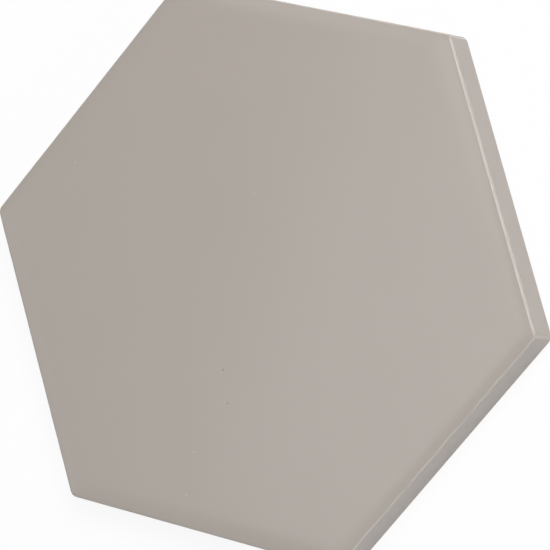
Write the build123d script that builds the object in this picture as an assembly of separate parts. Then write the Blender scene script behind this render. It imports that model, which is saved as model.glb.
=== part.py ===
from build123d import *

import os
from math import radians, sqrt, tan

# Glazed hexagonal wall tile, pressed and fired as one piece.
# Millimetres. The tile lies on its back: +Z points out of the glazed face, the origin is the middle
# of the back, two corners lie on the X axis and two sides face along Y.

# Overall sizes
ACROSS_FLATS = 107.0  # between opposite sides just above the back, where the tile is widest
THICKNESS = 8.3  # from the back to the flat field of the face
CORNER_RADIUS = 1.6  # upright corners, seen from above
SIDE_DRAFT = 1.5  # degrees that each side leans in on its way up, so that the press lets go

# Rolled border of the glazed face
SHOULDER_WIDTH = 5.0  # from the side in to the flat field
SHOULDER_DROP = 0.39  # how far the border rolls down before it meets the side
SHOULDER_CURVE = 2.6  # power of the roll: 2 bends evenly, more bends closer to the side
FIELD_CORNER_RADIUS = 3.5  # corners of the flat field
ARRIS_RADIUS = 0.5  # edge between the border and the side
SHOULDER_SECTIONS = 6  # outlines that the border is lofted through

# Keyed back, which holds the adhesive
BACK_CHAMFER = 0.35  # bevel round the back edge
RIM_WIDTH = 6.5  # plain margin round the keys
GROOVE_COUNT = 10  # even, so that a rib crosses the middle
RIB_WIDTH = 4.2  # flat top of each rib
KEY_DEPTH = 0.8  # groove depth below the ribs
KEY_WALL_SLOPE = 30.0  # degrees that the groove walls lean, away from upright

HEXAGON_SIDES = 6

# Heights and widths that follow from the sizes above
arris_height = THICKNESS - SHOULDER_DROP
arris_flats = ACROSS_FLATS - 2 * (arris_height - BACK_CHAMFER) * tan(radians(SIDE_DRAFT))
back_flats = ACROSS_FLATS - 2 * BACK_CHAMFER
field_flats = ACROSS_FLATS - 2 * RIM_WIDTH
groove_width = (field_flats - (GROOVE_COUNT - 1) * RIB_WIDTH) / GROOVE_COUNT
groove_pitch = groove_width + RIB_WIDTH


def hexagon(across_flats, corner_radius, height):
    """Flat hexagon with rounded corners, at a height above the back."""
    with BuildSketch(Plane.XY.offset(height)) as sketch:
        RegularPolygon(across_flats / sqrt(3), HEXAGON_SIDES)
        fillet(sketch.vertices(), corner_radius)
    return sketch.sketch


def shoulder_section(inward):
    """Outline of the rolled border, at a share of its width in from the side."""
    drop = SHOULDER_DROP * (1 - inward) ** SHOULDER_CURVE
    across_flats = arris_flats - 2 * inward * SHOULDER_WIDTH
    corner_radius = CORNER_RADIUS + inward * (FIELD_CORNER_RADIUS - CORNER_RADIUS)
    return hexagon(across_flats, corner_radius, THICKNESS - drop)


def pressed_body():
    """Solid tile with a bevelled back, leaning sides and a rolled border, before its arris is eased."""
    back = hexagon(back_flats, CORNER_RADIUS, 0)
    widest = hexagon(ACROSS_FLATS, CORNER_RADIUS, BACK_CHAMFER)
    slab = loft([back, widest, shoulder_section(0)], ruled=True)
    shares = [step / (SHOULDER_SECTIONS - 1) for step in range(SHOULDER_SECTIONS)]
    crown = loft([shoulder_section(share) for share in shares])
    return slab + crown


def back_grooves():
    """Parallel grooves with leaning walls, trimmed to the hexagon inside the rim."""
    key_field = extrude(hexagon(field_flats, CORNER_RADIUS, 0), KEY_DEPTH, taper=KEY_WALL_SLOPE)
    wall_angle = 90 - KEY_WALL_SLOPE
    section = Plane.YZ * Trapezoid(groove_width, KEY_DEPTH, wall_angle, align=(Align.CENTER, Align.MIN))
    groove = extrude(section, ACROSS_FLATS, both=True)
    rows = [Pos(Y=(row - (GROOVE_COUNT - 1) / 2) * groove_pitch) for row in range(GROOVE_COUNT)]
    return [key_field & (row * groove) for row in rows]


def hexagon_tile():
    """The finished tile."""
    tile = pressed_body()
    arris = tile.edges().filter_by_position(Axis.Z, arris_height, arris_height)
    tile = fillet(arris, ARRIS_RADIUS)
    for groove in back_grooves():
        tile -= groove
    return tile


os.makedirs("parts", exist_ok=True)
export_step(hexagon_tile(), "parts/hexagon_tile.step")
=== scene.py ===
"""Satin glazed hexagon tile, lying on its back on a white studio floor."""

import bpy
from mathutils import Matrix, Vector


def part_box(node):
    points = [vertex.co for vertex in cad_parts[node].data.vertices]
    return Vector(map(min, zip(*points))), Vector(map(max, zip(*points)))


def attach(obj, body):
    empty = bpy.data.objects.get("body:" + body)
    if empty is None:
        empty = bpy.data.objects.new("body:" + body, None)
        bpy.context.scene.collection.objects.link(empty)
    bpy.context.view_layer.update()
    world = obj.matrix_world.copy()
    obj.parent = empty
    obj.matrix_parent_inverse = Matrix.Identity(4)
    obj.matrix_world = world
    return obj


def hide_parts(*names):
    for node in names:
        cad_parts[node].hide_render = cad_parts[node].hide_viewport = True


bl_info = {
    "name": "Hexagon Tile",
    "version": (1, 0, 0),
    "blender": (4, 5, 0),
    "location": "3D View > Sidebar > Tile",
    "description": "Presses and glazes a hexagonal wall tile and sets a studio stage round it",
    "category": "Add Mesh",
}

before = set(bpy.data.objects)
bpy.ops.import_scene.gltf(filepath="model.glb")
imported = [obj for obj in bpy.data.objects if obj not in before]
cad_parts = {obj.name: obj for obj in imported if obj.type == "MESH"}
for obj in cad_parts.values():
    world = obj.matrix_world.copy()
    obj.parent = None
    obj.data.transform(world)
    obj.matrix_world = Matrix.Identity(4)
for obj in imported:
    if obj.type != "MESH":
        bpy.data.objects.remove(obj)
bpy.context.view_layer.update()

import math

import bmesh
import bpy
from bpy.props import FloatProperty, FloatVectorProperty, IntProperty, PointerProperty
from mathutils import Matrix, Quaternion, Vector, noise

MM = 0.001
NODE = "hexagon_tile"
BODY = "root"
HEXAGON_SIDES = 6

TILE_LOW, TILE_HIGH = (Vector(corner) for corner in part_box(NODE))
TILE_FLATS = TILE_HIGH.y - TILE_LOW.y
TILE_THICKNESS = TILE_HIGH.z - TILE_LOW.z

# Turn of the outline at each corner, and the directions square to the three pairs of sides
CORNER_TURN = math.radians(60)
SIDE_DIRECTIONS = tuple(math.radians(angle) for angle in (30, 90, 150))

# How near a vertex has to be to count as on a height, and how far inside an edge to count as within it
LEVEL_SLACK = 0.001 * MM
EDGE_SLACK = 0.01 * MM

# Places of the outlines: shares of the way up the side, then of the way in over the border
SIDE_SHARES = (0, 0.3, 0.6, 0.84, 0.92, 1)
BORDER_SHARES = (0.11, 0.17, 0.25, 0.35, 0.45, 0.55, 0.65, 0.75, 0.85, 1)

# Divisions of the mesh
SIDE_CUTS = 95
CORNER_SEGMENTS = 8
ARRIS_SEGMENTS = 8
ROUND_PROFILE = 0.5
SMOOTH_ANGLE = math.radians(30)

# Finer divisions round a small fault: cuts, reaches in widths of the fault, and what counts as facing up
FAULT_CUTS = 2
FAULT_REACHES = (2.5, 1.2)
FACING_UP = 0.9

# Pale line along the arris, part thin glaze and part painted highlight, in arris radii apart from the grain
# of its waver
LINE_DROP = 0.4
LINE_WAVER = 0.6
LINE_REACH = 0.95
LINE_CORE = 0.25
WAVER_GRAIN = 3.0 * MM

# Pale line up each corner, a painted highlight: its reach as a share of the rounding, and the share of the
# flats where sides begin
CORNER_HIGHLIGHT_REACH = 0.6
SIDE_BEGINS = 0.49

# Height at which the glaze is sure to cover the side
GLAZE_CLIMB = 1.8 * MM

# Relief of the fired glaze, and the share of a fault that has its full depth or height
WAVE_GRAIN = 18 * MM
BEAD_GRAIN = 2.2 * MM
PINHOLE_DEPTH = 0.08 * MM
NODULE_HEIGHT = 0.008 * MM
FAULT_CORE = 0.2

# Small faults of the glaze: place on the face and width
PINHOLES = ((-16.7 * MM, 12.5 * MM, 0.45 * MM), (-23.4 * MM, 13.5 * MM, 0.40 * MM))
NODULES = (
    (-30.4 * MM, 23.5 * MM, 0.45 * MM), (-38.2 * MM, 27.6 * MM, 0.40 * MM),
    (14.9 * MM, -4.2 * MM, 0.35 * MM), (34.1 * MM, 32.9 * MM, 0.35 * MM))

# Grains of the patterns in the glaze and in the fired body
CLOUD_GRAIN = 26 * MM
FLECK_GRAIN = 1.6 * MM
# Grain of the noise that varies the thin glaze and painted highlight along the arris
THIN_AND_HIGHLIGHT_GRAIN = 1.5 * MM
RAGGED_GRAIN = 1.2 * MM
SHEEN_GRAIN = 6 * MM
PEEL_GRAIN = 2.0 * MM
GRIT_GRAIN = 0.5 * MM
STAIN_GRAIN = 20 * MM
PORE_GRAIN = 0.35 * MM

# Shades of the patterns, as factors on the plain colour
CLOUD_SHADES = (0.975, 1.025)
GRIT_SHADES = (0.93, 1.04)
STAIN_SHADE = 0.86
NODULE_SHADE = 1.5
PINHOLE_SHADE = 0.5

# How strongly the patterns show
# Strength of the painted highlight up the corners
CORNER_HIGHLIGHT_SHARE = 0.8
# Range of the noise on the thin glaze and painted highlight of the arris
THIN_AND_HIGHLIGHT_RANGE = (0.6, 1.4)
RAGGED_REACH = 0.12
GLAZE_LINE = (0.10, 0.16)
GRIT_RANGE = (0.35, 0.65)
STAIN_RANGE = (0.4, 0.7)
STAIN_SHARE = 0.35
SHEEN_SPREAD = 0.02
PEEL_HEIGHT = 0.0015 * MM
PORE_HEIGHT = 0.06 * MM

# Floor: its side, how far it lies under the tile, its paint, and its share of plain white, seen and mirrored
FLOOR_SIZE = 6.0
FLOOR_DROP = 0.05 * MM
FLOOR_PAINT = (0.9, 0.9, 0.9, 1)
FLOOR_WHITE = 0.9
FLOOR_MIRRORED_WHITE = 0.1
WHITE = (1, 1, 1, 1)

# Camera: width of its sensor in millimetres, and the nearest distance that it shows
SENSOR_WIDTH = 36.0
CLIP_START = 0.01

# Square softboxes: what each is, its azimuth and elevation in degrees, its distance, side and brightness
SOFTBOXES = (
    ("panel", "large side softbox", 24.3, 52.5, 1.4, 0.8, 8.49),
    ("fill", "low fill softbox", -75.0, 21.0, 1.2, 0.5, 2.5),
    ("back", "softbox behind the tile", 166.0, 43.0, 1.4, 0.5, 0.65),
    ("edge", "small softbox over the edge", 117.0, 58.0, 1.2, 0.3, 1.0))


class TileSizes(bpy.types.PropertyGroup):
    """Sizes of the pressed tile."""

    across_flats: FloatProperty(
        name="Across flats", description="Width between opposite sides, where the tile is widest",
        default=TILE_FLATS, unit="LENGTH", precision=4)
    thickness: FloatProperty(
        name="Thickness", description="From the back to the flat field of the face",
        default=TILE_THICKNESS, unit="LENGTH", precision=4)
    corner_radius: FloatProperty(
        name="Corner radius", description="Rounding of the upright corners",
        default=1.6 * MM, unit="LENGTH", precision=4)
    side_draft: FloatProperty(
        name="Side draft", description="Angle that each side leans in on its way up",
        default=math.radians(1.5), subtype="ANGLE")
    shoulder_width: FloatProperty(
        name="Shoulder width", description="Rolled border of the face, from the side in to the flat field",
        default=5.0 * MM, unit="LENGTH", precision=4)
    shoulder_drop: FloatProperty(
        name="Shoulder drop", description="How far the border rolls down before it meets the side",
        default=0.39 * MM, unit="LENGTH", precision=5)
    shoulder_curve: FloatProperty(
        name="Shoulder curve", description="Power of the roll: 2 bends evenly, more bends closer to the side",
        default=2.6)
    field_corner_radius: FloatProperty(
        name="Field corner radius", description="Rounding of the corners of the flat field",
        default=3.5 * MM, unit="LENGTH", precision=4)
    arris_radius: FloatProperty(
        name="Arris radius", description="Rounding of the edge between the border and the side",
        default=0.5 * MM, unit="LENGTH", precision=4)
    back_chamfer: FloatProperty(
        name="Back chamfer", description="Bevel round the back edge",
        default=0.35 * MM, unit="LENGTH", precision=5)
    rim_width: FloatProperty(
        name="Rim width", description="Plain margin round the keyed back",
        default=6.5 * MM, unit="LENGTH", precision=4)
    groove_count: IntProperty(
        name="Grooves", description="Parallel grooves pressed into the back",
        default=10)
    rib_width: FloatProperty(
        name="Rib width", description="Flat top of each rib between two grooves",
        default=4.2 * MM, unit="LENGTH", precision=4)
    key_depth: FloatProperty(
        name="Key depth", description="Depth of the grooves",
        default=0.8 * MM, unit="LENGTH", precision=5)
    key_wall_slope: FloatProperty(
        name="Key wall slope", description="Angle that the groove walls lean away from upright",
        default=math.radians(30.0), subtype="ANGLE")
    glaze_wave: FloatProperty(
        name="Glaze wave", description="Height of the slow waves in the glazed face",
        default=0.03 * MM, unit="LENGTH", precision=5)
    arris_bead: FloatProperty(
        name="Arris bead", description="Height of the small beads where the glaze draws back from the arris",
        default=0.05 * MM, unit="LENGTH", precision=5)


class TileFinish(bpy.types.PropertyGroup):
    """Colours and gloss of the glaze and the fired body."""

    glaze: FloatVectorProperty(
        name="Glaze", description="Warm grey of the satin glaze",
        default=(0.377, 0.337, 0.304), subtype="COLOR", min=0.0, max=1.0)
    # Paler colour of the arris line, part thin glaze and part painted highlight, and of the painted highlight
    # up the corners
    thin_glaze: FloatVectorProperty(
        name="Thin glaze", description="Paler grey where the glaze is thin over the arris",
        default=(0.49, 0.44, 0.40), subtype="COLOR", min=0.0, max=1.0)
    biscuit: FloatVectorProperty(
        name="Biscuit", description="Pale fired body of the unglazed back",
        default=(0.72, 0.66, 0.58), subtype="COLOR", min=0.0, max=1.0)
    glaze_roughness: FloatProperty(
        name="Glaze roughness", description="Satin sheen of the glaze",
        default=0.18, subtype="FACTOR", min=0.0, max=1.0)
    thin_roughness: FloatProperty(
        name="Thin glaze roughness", description="Duller sheen where the glaze is thin over the arris",
        default=0.42, subtype="FACTOR", min=0.0, max=1.0)
    biscuit_roughness: FloatProperty(
        name="Biscuit roughness", description="Dry surface of the fired body",
        default=0.9, subtype="FACTOR", min=0.0, max=1.0)


class TileStage(bpy.types.PropertyGroup):
    """Camera and light round the tile."""

    aim: FloatVectorProperty(
        name="Aim", description="Point on the face that the camera looks at",
        default=(-2.205 * MM, -3.975 * MM, TILE_THICKNESS), subtype="XYZ", unit="LENGTH", precision=5)
    distance: FloatProperty(
        name="Distance", description="From the camera to the point it looks at",
        default=673.889 * MM, unit="LENGTH", precision=4)
    azimuth: FloatProperty(
        name="Azimuth", description="Turn of the camera round the tile, from the -Y side",
        default=math.radians(-23.537), subtype="ANGLE")
    elevation: FloatProperty(
        name="Elevation", description="Height of the camera above the floor, as an angle",
        default=math.radians(62.972), subtype="ANGLE")
    roll: FloatProperty(
        name="Roll", description="Turn of the camera about its own line of sight",
        default=math.radians(-83.908), subtype="ANGLE")
    lens: FloatProperty(
        name="Lens", description="Focal length in millimetres on a 36 mm sensor",
        default=223.029, min=1.0)
    ambient: FloatProperty(
        name="Ambient", description="Brightness of the even light from all round",
        default=0.23, min=0.0)
    strip_centre: FloatVectorProperty(
        name="Strip place", description="Middle of the long softbox that hangs level over the tile",
        default=(0.176, 0.257, 1.0), subtype="XYZ", unit="LENGTH")
    strip_size: FloatVectorProperty(
        name="Strip size", description="Width and length of the long softbox",
        default=(0.308, 0.53), size=2, unit="LENGTH")
    strip_turn: FloatProperty(
        name="Strip turn", description="Turn of the long softbox about the upright line through its middle",
        default=math.radians(44.0), subtype="ANGLE")
    strip_brightness: FloatProperty(
        name="Strip brightness", description="Brightness of the long softbox, where 1 is white",
        default=1.6, min=0.0)


def softbox_properties(name, words, azimuth, elevation, distance, size, brightness):
    """The five properties of a square softbox, under its own name."""
    title = name.capitalize()
    return {
        name + "_azimuth": FloatProperty(
            name=title + " azimuth", description="Turn of the " + words + " round the tile, from the -Y side",
            default=math.radians(azimuth), subtype="ANGLE"),
        name + "_elevation": FloatProperty(
            name=title + " elevation", description="Height of the " + words + " above the floor, as an angle",
            default=math.radians(elevation), subtype="ANGLE"),
        name + "_distance": FloatProperty(
            name=title + " distance", description="From the " + words + " to the tile",
            default=distance, unit="LENGTH"),
        name + "_size": FloatProperty(
            name=title + " size", description="Side of the " + words,
            default=size, unit="LENGTH"),
        name + "_brightness": FloatProperty(
            name=title + " brightness", description="Brightness of the " + words + ", where 1 is white",
            default=brightness, min=0.0),
    }


for softbox in SOFTBOXES:
    TileStage.__annotations__.update(softbox_properties(*softbox))


def select_only(obj, mode, test):
    """Select the vertices, edges or faces of the edited mesh that pass the test, and nothing else."""
    bpy.ops.mesh.select_mode(type=mode)
    bpy.ops.mesh.select_all(action="DESELECT")
    mesh = bmesh.from_edit_mesh(obj.data)
    elements = {"VERT": mesh.verts, "EDGE": mesh.edges, "FACE": mesh.faces}[mode]
    for element in elements:
        if test(element):
            element.select_set(True)
    mesh.select_flush_mode()
    bmesh.update_edit_mesh(obj.data)


def at_height(height):
    """Test for an edge or a face that lies at one height."""
    return lambda element: all(abs(vert.co.z - height) < LEVEL_SLACK for vert in element.verts)


def hexagon_reach(point):
    """Distance of a point from the tile's axis, measured square to the nearest side."""
    return max(abs(point.x * math.cos(turn) + point.y * math.sin(turn)) for turn in SIDE_DIRECTIONS)


def corner_tangent(radius):
    """Length along each side that the rounding of a corner takes up."""
    return radius * math.tan(CORNER_TURN / 2)


def outlines(sizes):
    """Across-flats width, corner radius and height of each outline, from the back up to the flat field."""
    arris_height = sizes.thickness - sizes.shoulder_drop
    climb = arris_height - sizes.back_chamfer
    lean = math.tan(sizes.side_draft)

    def side(share):
        flats = sizes.across_flats - 2 * share * climb * lean
        return flats, sizes.corner_radius, sizes.back_chamfer + share * climb

    def border(share):
        flats = side(1)[0] - 2 * share * sizes.shoulder_width
        radius = sizes.corner_radius + share * (sizes.field_corner_radius - sizes.corner_radius)
        return flats, radius, sizes.thickness - sizes.shoulder_drop * (1 - share) ** sizes.shoulder_curve

    back = (sizes.across_flats - 2 * sizes.back_chamfer, sizes.corner_radius, 0.0)
    return [back] + [side(share) for share in SIDE_SHARES] + [border(share) for share in BORDER_SHARES]


def draw_outline(tile, flats, radius, height):
    """Add one rounded hexagon with corners on the X axis, as a loop of edges with evenly divided sides."""
    bpy.ops.mesh.select_mode(type="VERT")
    bpy.ops.mesh.primitive_circle_add(
        vertices=HEXAGON_SIDES, radius=flats / math.sqrt(3), fill_type="NGON",
        location=(0, 0, height), rotation=(0, 0, math.radians(90)))
    bpy.ops.mesh.bevel(
        affect="VERTICES", offset=corner_tangent(radius), segments=CORNER_SEGMENTS, profile=ROUND_PROFILE)
    select_only(tile, "FACE", at_height(height))
    bpy.ops.mesh.delete(type="ONLY_FACE")
    long_edge = flats / math.sqrt(3) / 2
    select_only(tile, "EDGE", lambda edge: at_height(height)(edge) and edge.calc_length() > long_edge)
    bpy.ops.mesh.subdivide(number_cuts=SIDE_CUTS)


def press_slab(sizes):
    """Draw the outlines from the back to the field, join them, fill the face and round the arris."""
    bpy.ops.object.select_all(action="DESELECT")
    bpy.ops.mesh.primitive_circle_add(vertices=HEXAGON_SIDES, radius=sizes.across_flats / math.sqrt(3))
    tile = bpy.context.object
    tile.name = tile.data.name = "tile"
    # The first ring only starts the mesh
    bpy.ops.object.mode_set(mode="EDIT")
    bpy.ops.mesh.delete(type="VERT")
    lower = None
    for flats, radius, height in outlines(sizes):
        draw_outline(tile, flats, radius, height)
        if lower is not None:
            either = (at_height(lower), at_height(height))
            select_only(tile, "EDGE", lambda edge: any(test(edge) for test in either))
            bpy.ops.mesh.bridge_edge_loops()
        lower = height
    select_only(tile, "EDGE", at_height(sizes.thickness))
    loop_edges = len([edge for edge in bmesh.from_edit_mesh(tile.data).edges if edge.select])
    bpy.ops.mesh.fill_grid(span=loop_edges // HEXAGON_SIDES, use_interp_simple=True)
    select_only(tile, "EDGE", at_height(sizes.thickness - sizes.shoulder_drop))
    slope = sizes.shoulder_curve * sizes.shoulder_drop / sizes.shoulder_width
    turn = math.radians(90) - sizes.side_draft - math.atan(slope)
    tangent = sizes.arris_radius * math.tan(turn / 2)
    bpy.ops.mesh.bevel(affect="EDGES", offset=tangent, segments=ARRIS_SEGMENTS, profile=ROUND_PROFILE)
    return tile


def press_back(tile, sizes):
    """Close the back and press its parallel grooves inside a plain rim."""
    back_flats = sizes.across_flats - 2 * sizes.back_chamfer
    field_flats = sizes.across_flats - 2 * sizes.rim_width
    groove_width = (field_flats - (sizes.groove_count - 1) * sizes.rib_width) / sizes.groove_count
    pitch = groove_width + sizes.rib_width
    rows = [(row - (sizes.groove_count - 1) / 2) * pitch for row in range(sizes.groove_count)]

    select_only(tile, "EDGE", at_height(0))
    bpy.ops.mesh.edge_face_add()
    bpy.ops.mesh.select_mode(type="FACE")
    bpy.ops.mesh.extrude_region_move()
    ratio = field_flats / back_flats
    bpy.ops.transform.resize(value=(ratio, ratio, 1), center_override=(0, 0, 0))
    straight_run = field_flats / math.sqrt(3) - 2 * corner_tangent(ratio * sizes.corner_radius)

    def across_rim(edge):
        inner, outer = sorted(edge.verts, key=lambda vert: vert.co.length)
        reach = hexagon_reach(inner.co)
        along = math.sqrt(max(inner.co.length_squared - reach ** 2, 0))
        crosses = hexagon_reach(outer.co) - reach > sizes.rim_width / 2
        return at_height(0)(edge) and crosses and along < straight_run / 2 - EDGE_SLACK

    select_only(tile, "EDGE", across_rim)
    bpy.ops.mesh.dissolve_edges(use_verts=True)

    def in_field(face):
        return at_height(0)(face) and hexagon_reach(face.calc_center_median()) < field_flats / 2 - EDGE_SLACK

    cuts = [row + side * groove_width / 2 for row in rows for side in (-1, 1)]
    for cut in cuts[1:-1]:
        select_only(tile, "FACE", in_field)
        bpy.ops.mesh.bisect(plane_co=(0, cut, 0), plane_no=(0, 1, 0))
    bpy.ops.mesh.select_all(action="SELECT")
    bpy.ops.mesh.normals_make_consistent(inside=False)

    def in_groove(face):
        middle = face.calc_center_median()
        return in_field(face) and any(abs(middle.y - row) < groove_width / 2 for row in rows)

    select_only(tile, "FACE", in_groove)
    wall = sizes.key_depth * math.tan(sizes.key_wall_slope)
    bpy.ops.mesh.inset(thickness=wall, depth=-sizes.key_depth, use_individual=True)


def divide_round_faults(tile):
    """Divide the face finely round each small fault, so that the mesh can hold its shape."""
    for reach in FAULT_REACHES:
        for x, y, width in PINHOLES + NODULES:
            spot = Vector((x, y))

            def near(face):
                middle = face.calc_center_median()
                return face.normal.z > FACING_UP and (middle.xy - spot).length < reach * width

            select_only(tile, "FACE", near)
            bpy.ops.mesh.subdivide(number_cuts=FAULT_CUTS)


def smooth_step(low, high, value):
    """Share from 0 to 1 of a value's way from low to high, with soft ends."""
    share = min(max((value - low) / (high - low), 0.0), 1.0)
    return share * share * (3 - 2 * share)


def on_face(sizes):
    """Weight of the glazed face: 1 on the flat field, fading out over the border."""
    edge = sizes.across_flats / 2

    def weight(point):
        if point.z < sizes.thickness - sizes.shoulder_drop:
            return 0.0
        return smooth_step(edge, edge - sizes.shoulder_width, hexagon_reach(point))

    return weight


def on_arris(sizes):
    """Weight of the arris: 1 along a wavering line on its rounding, fading out to both sides; it places the
    thin glaze and painted highlight, and the beads.
    """
    height = sizes.thickness - sizes.shoulder_drop
    middle = height - LINE_DROP * sizes.arris_radius
    waver = LINE_WAVER * sizes.arris_radius
    edge = sizes.across_flats / 2 - (height - sizes.back_chamfer) * math.tan(sizes.side_draft)

    def weight(point):
        line = middle + waver * noise.noise(point / WAVER_GRAIN)
        away = math.hypot(edge - hexagon_reach(point), line - point.z)
        return smooth_step(LINE_REACH * sizes.arris_radius, LINE_CORE * sizes.arris_radius, away)

    return weight


def on_corner_highlights(sizes):
    """Weight of the upright corners: 1 along the middle of each rounding, fading out to both sides; it places
    a painted highlight.
    """
    reach = CORNER_HIGHLIGHT_REACH * corner_tangent(sizes.corner_radius)
    side_begins = SIDE_BEGINS * sizes.across_flats
    top = sizes.thickness - sizes.shoulder_drop - sizes.arris_radius / 2

    def weight(point):
        if not sizes.back_chamfer <= point.z <= top or hexagon_reach(point) < side_begins:
            return 0.0
        turn = math.atan2(point.y, point.x) % CORNER_TURN
        away = point.xy.length * math.sin(min(turn, CORNER_TURN - turn))
        return smooth_step(reach, 0.0, away)

    return weight


def on_faults(sizes, faults):
    """Weight of small round faults: 1 in the core of each, 0 at its rim."""

    def weight(point):
        if point.z < sizes.thickness - sizes.shoulder_drop:
            return 0.0
        shares = (math.hypot(point.x - x, point.y - y) / (width / 2) for x, y, width in faults)
        return smooth_step(1.0, FAULT_CORE, min(shares))

    return weight


def up_the_side(sizes):
    """Weight that climbs from 0 on the back to 1 some way up the side, where the glaze is sure to reach."""
    edge = sizes.across_flats / 2

    def weight(point):
        if hexagon_reach(point) < edge - 2 * sizes.back_chamfer and point.z < sizes.thickness / 2:
            return 0.0
        return min(point.z / GLAZE_CLIMB, 1.0)

    return weight


def weigh(tile, weight):
    """Weight of every vertex of the tile."""
    return [weight(vert.co) for vert in tile.data.vertices]


def mark(tile, name, weights):
    """Keep weights on the tile as an attribute that the glaze reads."""
    attribute = tile.data.attributes.new(name, "FLOAT", "POINT")
    attribute.data.foreach_set("value", weights)


def displace(tile, name, weights, height, grain=None):
    """Raise or sink the surface by its weights, evenly or by soft noise of one grain size."""
    group = tile.vertex_groups.new(name=name)
    for index, value in enumerate(weights):
        if value > 0:
            group.add([index], value, "REPLACE")
    bpy.ops.object.modifier_add(type="DISPLACE")
    modifier = tile.modifiers[-1]
    modifier.vertex_group = group.name
    modifier.strength = height
    modifier.mid_level = 0.0
    if grain:
        texture = bpy.data.textures.new(name, "CLOUDS")
        texture.noise_scale = grain
        texture.noise_depth = 1
        modifier.texture = texture
        modifier.texture_coords = "LOCAL"
    bpy.ops.object.modifier_apply(modifier=modifier.name)


def fire_surface(tile, sizes):
    """Give the fired surface its slow waves, its beaded arris and its small faults."""
    face = weigh(tile, on_face(sizes))
    arris = weigh(tile, on_arris(sizes))
    pinholes = weigh(tile, on_faults(sizes, PINHOLES))
    nodules = weigh(tile, on_faults(sizes, NODULES))
    # Mask of the pale arris line, part thin glaze and part painted highlight
    mark(tile, "thin_glaze", arris)
    mark(tile, "pinhole", pinholes)
    mark(tile, "nodule", nodules)
    # Mask of the painted highlight up the corners
    mark(tile, "corner", weigh(tile, on_corner_highlights(sizes)))
    mark(tile, "glaze_rise", weigh(tile, up_the_side(sizes)))
    displace(tile, "waves", face, -sizes.glaze_wave, grain=WAVE_GRAIN)
    displace(tile, "beads", arris, -sizes.arris_bead, grain=BEAD_GRAIN)
    displace(tile, "pinholes", pinholes, -PINHOLE_DEPTH)
    displace(tile, "nodules", nodules, NODULE_HEIGHT)


class NodeSheet:
    """Short ways to add nodes to a material and wire them up."""

    def __init__(self, name):
        self.material = bpy.data.materials.new(name)
        self.material.use_nodes = True
        self.tree = self.material.node_tree
        self.shader = self.tree.nodes["Principled BSDF"]
        self.place = self.add("ShaderNodeTexCoord").outputs["Object"]

    def add(self, kind, **settings):
        """Add a node with its settings."""
        node = self.tree.nodes.new(kind)
        for name, value in settings.items():
            setattr(node, name, value)
        return node

    def feed(self, socket, value):
        """Set a socket to a plain value, or wire it to another node's output."""
        if isinstance(value, bpy.types.NodeSocket):
            self.tree.links.new(value, socket)
        else:
            socket.default_value = value

    def noise(self, size, detail=2.0):
        """Soft noise with grains of about one size, from 0 to 1."""
        node = self.add("ShaderNodeTexNoise")
        self.feed(node.inputs["Vector"], self.place)
        self.feed(node.inputs["Scale"], 1 / size)
        self.feed(node.inputs["Detail"], detail)
        return node.outputs["Fac"]

    def weight(self, name):
        """A weight that the mesh carries."""
        return self.add("ShaderNodeAttribute", attribute_name=name).outputs["Fac"]

    def math(self, operation, first, second):
        """Work out one number from two."""
        node = self.add("ShaderNodeMath", operation=operation)
        self.feed(node.inputs[0], first)
        self.feed(node.inputs[1], second)
        return node.outputs[0]

    def span(self, value, low, high, to_low=0.0, to_high=1.0):
        """Map a value from one range to another, held at the ends."""
        node = self.add("ShaderNodeMapRange")
        self.feed(node.inputs["Value"], value)
        self.feed(node.inputs["From Min"], low)
        self.feed(node.inputs["From Max"], high)
        self.feed(node.inputs["To Min"], to_low)
        self.feed(node.inputs["To Max"], to_high)
        return node.outputs["Result"]

    def blend(self, share, first, second):
        """Mix two colours."""
        node = self.add("ShaderNodeMix", data_type="RGBA")
        self.feed(node.inputs[0], share)
        self.feed(node.inputs[6], first)
        self.feed(node.inputs[7], second)
        return node.outputs[2]

    def merge(self, share, first, second):
        """Mix two numbers."""
        node = self.add("ShaderNodeMix", data_type="FLOAT")
        self.feed(node.inputs[0], share)
        self.feed(node.inputs[2], first)
        self.feed(node.inputs[3], second)
        return node.outputs[0]


def shade(colour, factor=1.0):
    """A colour, made lighter or darker, with its alpha."""
    return (*(min(channel * factor, 1.0) for channel in colour), 1.0)


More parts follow.
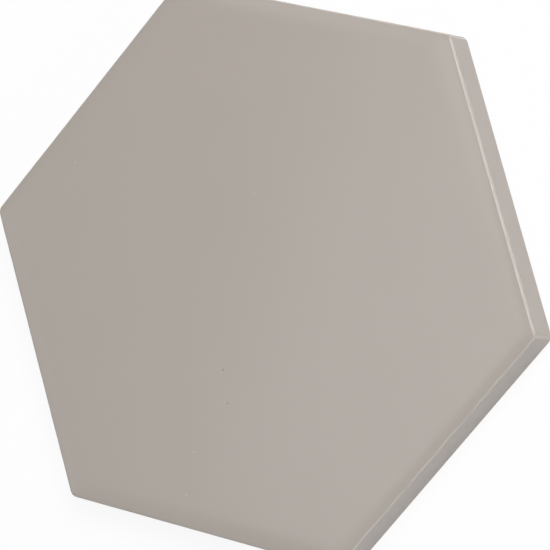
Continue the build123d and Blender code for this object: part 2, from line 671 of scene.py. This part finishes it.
def glaze_material(finish):
    """Satin warm grey glaze, thin over the arris with a painted highlight there and up the corners, and left
    off the back, where the fired body shows.
    """
    sheet = NodeSheet("satin_glaze")
    dark, pale = (shade(finish.glaze, factor) for factor in CLOUD_SHADES)
    tone = sheet.blend(sheet.noise(CLOUD_GRAIN), dark, pale)
    tone = sheet.blend(sheet.noise(FLECK_GRAIN, detail=3.0), tone, shade(finish.glaze))
    # Pale line: painted highlight up the corners, and thin glaze with painted highlight along the arris
    corner = sheet.math("MULTIPLY", sheet.weight("corner"), CORNER_HIGHLIGHT_SHARE)
    thin = sheet.math("MAXIMUM", sheet.weight("thin_glaze"), corner)
    thin = sheet.math("MULTIPLY", thin, sheet.merge(sheet.noise(THIN_AND_HIGHLIGHT_GRAIN), *THIN_AND_HIGHLIGHT_RANGE))
    tone = sheet.blend(thin, tone, shade(finish.thin_glaze))
    tone = sheet.blend(sheet.weight("nodule"), tone, shade(finish.glaze, NODULE_SHADE))
    tone = sheet.blend(sheet.weight("pinhole"), tone, shade(finish.glaze, PINHOLE_SHADE))

    ragged = sheet.span(sheet.noise(RAGGED_GRAIN, detail=3.0), 0.0, 1.0, -RAGGED_REACH, RAGGED_REACH)
    glazed = sheet.span(sheet.math("ADD", sheet.weight("glaze_rise"), ragged), *GLAZE_LINE)
    grit = sheet.span(sheet.noise(GRIT_GRAIN, detail=4.0), *GRIT_RANGE)
    dark, pale = (shade(finish.biscuit, factor) for factor in GRIT_SHADES)
    body = sheet.blend(grit, dark, pale)
    stain = sheet.span(sheet.noise(STAIN_GRAIN, detail=4.0), *STAIN_RANGE, 0.0, STAIN_SHARE)
    body = sheet.blend(stain, body, shade(finish.biscuit, STAIN_SHADE))
    sheet.feed(sheet.shader.inputs["Base Color"], sheet.blend(glazed, body, tone))

    dull, bright = finish.glaze_roughness + SHEEN_SPREAD, finish.glaze_roughness - SHEEN_SPREAD
    sheen = sheet.merge(sheet.noise(SHEEN_GRAIN), bright, dull)
    sheen = sheet.merge(thin, sheen, finish.thin_roughness)
    sheet.feed(sheet.shader.inputs["Roughness"], sheet.merge(glazed, finish.biscuit_roughness, sheen))

    peel = sheet.math("MULTIPLY", sheet.noise(PEEL_GRAIN, detail=1.0), PEEL_HEIGHT)
    pores = sheet.math("MULTIPLY", sheet.noise(PORE_GRAIN, detail=5.0), PORE_HEIGHT)
    bump = sheet.add("ShaderNodeBump")
    sheet.feed(bump.inputs["Distance"], 1.0)
    sheet.feed(bump.inputs["Height"], sheet.merge(glazed, pores, peel))
    sheet.feed(sheet.shader.inputs["Normal"], bump.outputs["Normal"])
    return sheet.material


class MakeTile(bpy.types.Operator):
    """Press the tile, fire its glaze and put it in place of the plain solid"""

    bl_idname = "hexagon_tile.make_tile"
    bl_label = "Make tile"
    bl_options = {"REGISTER", "UNDO"}

    def execute(self, context):
        sizes = context.scene.tile_sizes
        tile = press_slab(sizes)
        press_back(tile, sizes)
        divide_round_faults(tile)
        bpy.ops.object.mode_set(mode="OBJECT")
        fire_surface(tile, sizes)
        bpy.ops.object.shade_smooth_by_angle(angle=SMOOTH_ANGLE)
        tile.data.materials.append(glaze_material(context.scene.tile_finish))
        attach(tile, BODY)
        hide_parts(NODE)
        return {"FINISHED"}


def set_camera(stage):
    """Place the camera on its line of sight, looking down on the tile."""
    back = from_azimuth(stage.azimuth, stage.elevation)
    right = Vector((math.cos(stage.azimuth), math.sin(stage.azimuth), 0))
    up = back.cross(right)
    rolled_right = right * math.cos(stage.roll) + up * math.sin(stage.roll)
    rolled_up = back.cross(rolled_right)
    turn = Matrix((rolled_right, rolled_up, back)).transposed()
    lens = bpy.data.cameras.new("camera")
    lens.lens = stage.lens
    lens.sensor_width = SENSOR_WIDTH
    lens.clip_start = CLIP_START
    camera = bpy.data.objects.new("camera", lens)
    camera.matrix_world = Matrix.Translation(Vector(stage.aim) + back * stage.distance) @ turn.to_4x4()
    bpy.context.collection.objects.link(camera)
    bpy.context.scene.camera = camera


def seen_rays(nodes, links, direct, mirrored):
    """Share of plain white for rays that show the background: straight, or mirrored in gloss and glass."""
    rays = nodes.new("ShaderNodeLightPath")
    shares = {"Is Camera Ray": direct, "Is Glossy Ray": mirrored, "Is Transmission Ray": mirrored}
    seen = None
    for kind, share in shares.items():
        part = nodes.new("ShaderNodeMath")
        part.operation = "MULTIPLY_ADD"
        part.inputs[1].default_value = share
        part.inputs[2].default_value = 0.0
        links.new(rays.outputs[kind], part.inputs[0])
        if seen is not None:
            links.new(seen, part.inputs[2])
        seen = part.outputs[0]
    return seen


def lay_floor():
    """Lay a white floor a hair under the tile, so that floor and back don't share a plane."""
    bpy.ops.object.select_all(action="DESELECT")
    bpy.ops.mesh.primitive_plane_add(size=FLOOR_SIZE, location=(0, 0, -FLOOR_DROP))
    floor = bpy.context.object
    floor.name = floor.data.name = "floor"
    material = bpy.data.materials.new("white_floor")
    material.use_nodes = True
    nodes, links = material.node_tree.nodes, material.node_tree.links
    nodes.clear()
    output = nodes.new("ShaderNodeOutputMaterial")
    paint = nodes.new("ShaderNodeBsdfDiffuse")
    paint.inputs["Color"].default_value = FLOOR_PAINT
    glow = nodes.new("ShaderNodeEmission")
    mix = nodes.new("ShaderNodeMixShader")
    white = seen_rays(nodes, links, direct=FLOOR_WHITE, mirrored=FLOOR_MIRRORED_WHITE)
    links.new(white, mix.inputs["Fac"])
    links.new(paint.outputs[0], mix.inputs[1])
    links.new(glow.outputs[0], mix.inputs[2])
    links.new(mix.outputs[0], output.inputs["Surface"])
    floor.data.materials.append(material)


def light_world(stage):
    """Light the tile evenly from all round, and show white past the floor, seen straight or mirrored."""
    world = bpy.data.worlds.new("studio")
    world.use_nodes = True
    nodes, links = world.node_tree.nodes, world.node_tree.links
    nodes.clear()
    output = nodes.new("ShaderNodeOutputWorld")
    ambient = nodes.new("ShaderNodeBackground")
    ambient.inputs["Color"].default_value = WHITE
    ambient.inputs["Strength"].default_value = stage.ambient
    white = nodes.new("ShaderNodeBackground")
    white.inputs["Color"].default_value = WHITE
    mix = nodes.new("ShaderNodeMixShader")
    links.new(seen_rays(nodes, links, direct=1.0, mirrored=1.0), mix.inputs["Fac"])
    links.new(ambient.outputs[0], mix.inputs[1])
    links.new(white.outputs[0], mix.inputs[2])
    links.new(mix.outputs[0], output.inputs["Surface"])
    bpy.context.scene.world = world


def from_azimuth(azimuth, elevation):
    """Direction out from the tile, turned from the -Y side and raised above the floor."""
    level = Vector((math.sin(azimuth), -math.cos(azimuth), 0))
    return level * math.cos(elevation) + Vector((0, 0, math.sin(elevation)))


def hang_softbox(name, place, facing, turn, width, length, brightness):
    """Hang one softbox with its face square to a direction, as bright as given, where 1 is white."""
    lamp = bpy.data.lights.new(name, "AREA")
    lamp.shape = "RECTANGLE"
    lamp.size = width
    lamp.size_y = length
    lamp.energy = brightness * math.pi * width * length
    light = bpy.data.objects.new(name, lamp)
    light.location = place
    aim = (-facing).to_track_quat("-Z", "Y")
    light.rotation_euler = (aim @ Quaternion((0, 0, 1), turn)).to_euler()
    bpy.context.collection.objects.link(light)


def hang_lights(stage):
    """Hang a long softbox level over the tile, and the square ones round it."""
    overhead = Vector((0, 0, 1))
    width, length = stage.strip_size
    hang_softbox(
        "strip", stage.strip_centre, overhead, stage.strip_turn, width, length, stage.strip_brightness)
    for name, *_ in SOFTBOXES:
        azimuth, elevation, distance, side, brightness = (
            getattr(stage, name + "_" + value)
            for value in ("azimuth", "elevation", "distance", "size", "brightness"))
        way = from_azimuth(azimuth, elevation)
        hang_softbox(name, way * distance, way, 0, side, side, brightness)


class SetStage(bpy.types.Operator):
    """Set the white floor, the soft lights and the camera"""

    bl_idname = "hexagon_tile.set_stage"
    bl_label = "Set stage"
    bl_options = {"REGISTER", "UNDO"}

    def execute(self, context):
        stage = context.scene.tile_stage
        set_camera(stage)
        lay_floor()
        light_world(stage)
        hang_lights(stage)
        context.scene.view_settings.view_transform = "Standard"
        return {"FINISHED"}


class TilePanel(bpy.types.Panel):
    """Sidebar panel with the tile's tools and sizes"""

    bl_idname = "VIEW3D_PT_hexagon_tile"
    bl_label = "Hexagon Tile"
    bl_space_type = "VIEW_3D"
    bl_region_type = "UI"
    bl_category = "Tile"

    def draw(self, context):
        layout = self.layout
        layout.operator(MakeTile.bl_idname)
        layout.operator(SetStage.bl_idname)
        for group in (context.scene.tile_sizes, context.scene.tile_finish, context.scene.tile_stage):
            box = layout.box()
            for name in group.__annotations__:
                box.prop(group, name)


CLASSES = (TileSizes, TileFinish, TileStage, MakeTile, SetStage, TilePanel)


def register():
    for cls in CLASSES:
        bpy.utils.register_class(cls)
    bpy.types.Scene.tile_sizes = PointerProperty(type=TileSizes)
    bpy.types.Scene.tile_finish = PointerProperty(type=TileFinish)
    bpy.types.Scene.tile_stage = PointerProperty(type=TileStage)


def unregister():
    del bpy.types.Scene.tile_stage
    del bpy.types.Scene.tile_finish
    del bpy.types.Scene.tile_sizes
    for cls in reversed(CLASSES):
        bpy.utils.unregister_class(cls)


def main():
    register()
    bpy.ops.hexagon_tile.make_tile()
    bpy.ops.hexagon_tile.set_stage()


if __name__ == "__main__":
    main()
